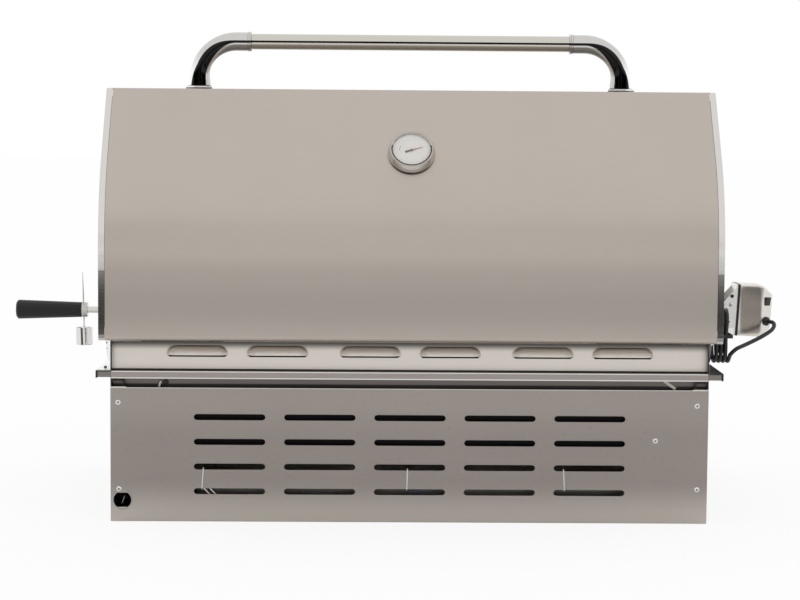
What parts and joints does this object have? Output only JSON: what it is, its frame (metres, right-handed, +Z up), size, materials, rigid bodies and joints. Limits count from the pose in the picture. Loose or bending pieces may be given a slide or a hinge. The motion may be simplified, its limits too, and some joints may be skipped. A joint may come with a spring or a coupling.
{
  "type": "built-in gas grill",
  "caption": "Built-in gas grill with a hinged hood shown open, a motor-driven rotisserie, slotted rear panel, burners, grates and a drip tray.",
  "frame": {"origin": "middle of the casing's flat underside", "axes": "+X to the cook's right, +Y to the back, +Z up"},
  "size_m": [1.2862, 0.6905, 0.7845],
  "materials": {
    "brushed_steel": "brushed stainless steel",
    "hood_steel": "brushed stainless steel",
    "polished_steel": "polished stainless steel",
    "dark_enamel": "dark enamel",
    "black_plastic": "black moulded plastic",
    "black_rubber": "black rubber",
    "ceramic": "pale ceramic burner face in a steel housing",
    "dial_white": "printed dial",
    "needle_red": "painted needle",
    "glass": "clear glass",
    "brass": "bare brass"
  },
  "bodies": {
    "casing": {"rear_panel": "brushed_steel", "left_side_panel": "brushed_steel", "right_side_panel": "brushed_steel", "bottom_pan": "brushed_steel", "control_panel": "brushed_steel", "firebox_rear_wall": "brushed_steel", "firebox_front_wall": "brushed_steel", "firebox_left_wall": "brushed_steel", "firebox_right_wall": "brushed_steel", "burner_1": "brushed_steel", "burner_2": "brushed_steel", "burner_3": "brushed_steel", "burner_4": "brushed_steel", "burner_5": "brushed_steel", "motor_case": "brushed_steel", "left_hinge_bolt": "polished_steel", "right_hinge_bolt": "polished_steel", "motor_bracket": "polished_steel", "heat_tent_1": "dark_enamel", "heat_tent_2": "dark_enamel", "heat_tent_3": "dark_enamel", "heat_tent_4": "dark_enamel", "heat_tent_5": "dark_enamel", "motor_base": "dark_enamel", "cord_tie": "black_plastic", "cord_gland": "black_rubber", "power_cord": "black_rubber", "cord_hank": "black_rubber", "power_plug": "black_rubber", "rear_burner": "ceramic", "gas_manifold": "brass"},
    "hood": {"hood_skin": "hood_steel", "hood_liner": "hood_steel", "hood_left_end": "polished_steel", "hood_right_end": "polished_steel", "handle_bar": "hood_steel", "handle_left_elbow": "polished_steel", "handle_right_elbow": "polished_steel", "thermometer_case": "polished_steel", "thermometer_dial": "dial_white", "thermometer_glass": "glass"},
    "needle": {"thermometer_needle": "needle_red"},
    "spit": {"spit_rod": "polished_steel", "spit_handle": "black_plastic", "counterbalance_rod": "polished_steel"},
    "counterweight": {"counterweight": "polished_steel"},
    "left_fork": {"left_fork": "polished_steel"},
    "right_fork": {"right_fork": "polished_steel"},
    "motor_switch": {"motor_switch": "black_plastic"},
    "drip_tray": {"drip_tray": "brushed_steel"},
    "knob_1": {"burner_1_knob": "black_plastic"},
    "knob_2": {"burner_2_knob": "black_plastic"},
    "knob_3": {"burner_3_knob": "black_plastic"},
    "knob_4": {"burner_4_knob": "black_plastic"},
    "knob_5": {"burner_5_knob": "black_plastic"},
    "knob_rear": {"rear_burner_knob": "black_plastic"},
    "grate_1": {"cooking_grate_1": "dark_enamel"},
    "grate_2": {"cooking_grate_2": "dark_enamel"},
    "grate_3": {"cooking_grate_3": "dark_enamel"},
    "grate_4": {"cooking_grate_4": "dark_enamel"}
  },
  "joints": [
    {"name": "hood_hinge", "type": "hinge", "parent": "casing", "child": "hood", "pos_m": [0, 0.165, 0.3], "axis": [1, 0, 0], "range_deg": [0, 75]},
    {"name": "thermometer_needle_turn", "type": "hinge", "parent": "hood", "child": "needle", "pos_m": [0.0012, 0.27545, 0.59427], "axis": [0, -0.809, -0.5878], "range_deg": [0, 215]},
    {"name": "spit_turn", "type": "hinge", "parent": "casing", "child": "spit", "pos_m": [0, 0, 0.3155], "axis": [1, 0, 0], "continuous": true},
    {"name": "counterweight_slide", "type": "slide", "parent": "spit", "child": "counterweight", "axis": [0.0244, 0, 0.9997], "range_m": [0, 0.012]},
    {"name": "left_fork_slide", "type": "slide", "parent": "spit", "child": "left_fork", "axis": [-1, 0, 0], "range_m": [-0.05, 0.2]},
    {"name": "right_fork_slide", "type": "slide", "parent": "spit", "child": "right_fork", "axis": [1, 0, 0], "range_m": [-0.05, 0.2]},
    {"name": "motor_switch_rock", "type": "hinge", "parent": "casing", "child": "motor_switch", "pos_m": [-0.61055, 0.0235, 0.33893], "axis": [-0.8171, -0.5749, -0.0428], "range_deg": [-16, 0]},
    {"name": "drip_tray_slide", "type": "slide", "parent": "casing", "child": "drip_tray", "axis": [0, -1, 0], "range_m": [0, 0.45]},
    {"name": "knob_1_turn", "type": "hinge", "parent": "casing", "child": "knob_1", "pos_m": [-0.344, -0.335, 0.158], "axis": [0, -1, 0], "range_deg": [0, 180]},
    {"name": "knob_2_turn", "type": "hinge", "parent": "casing", "child": "knob_2", "pos_m": [-0.172, -0.335, 0.158], "axis": [0, -1, 0], "range_deg": [0, 180]},
    {"name": "knob_3_turn", "type": "hinge", "parent": "casing", "child": "knob_3", "pos_m": [0, -0.335, 0.158], "axis": [0, -1, 0], "range_deg": [0, 180]},
    {"name": "knob_4_turn", "type": "hinge", "parent": "casing", "child": "knob_4", "pos_m": [0.172, -0.335, 0.158], "axis": [0, -1, 0], "range_deg": [0, 180]},
    {"name": "knob_5_turn", "type": "hinge", "parent": "casing", "child": "knob_5", "pos_m": [0.344, -0.335, 0.158], "axis": [0, -1, 0], "range_deg": [0, 180]},
    {"name": "knob_rear_turn", "type": "hinge", "parent": "casing", "child": "knob_rear", "pos_m": [0.44, -0.335, 0.158], "axis": [0, -1, 0], "range_deg": [0, 180]},
    {"name": "grate_1_lift", "type": "slide", "parent": "casing", "child": "grate_1", "axis": [0, 0, 1], "range_m": [0, 0.035]},
    {"name": "grate_2_lift", "type": "slide", "parent": "casing", "child": "grate_2", "axis": [0, 0, 1], "range_m": [0, 0.035]},
    {"name": "grate_3_lift", "type": "slide", "parent": "casing", "child": "grate_3", "axis": [0, 0, 1], "range_m": [0, 0.035]},
    {"name": "grate_4_lift", "type": "slide", "parent": "casing", "child": "grate_4", "axis": [0, 0, 1], "range_m": [0, 0.035]}
  ]
}
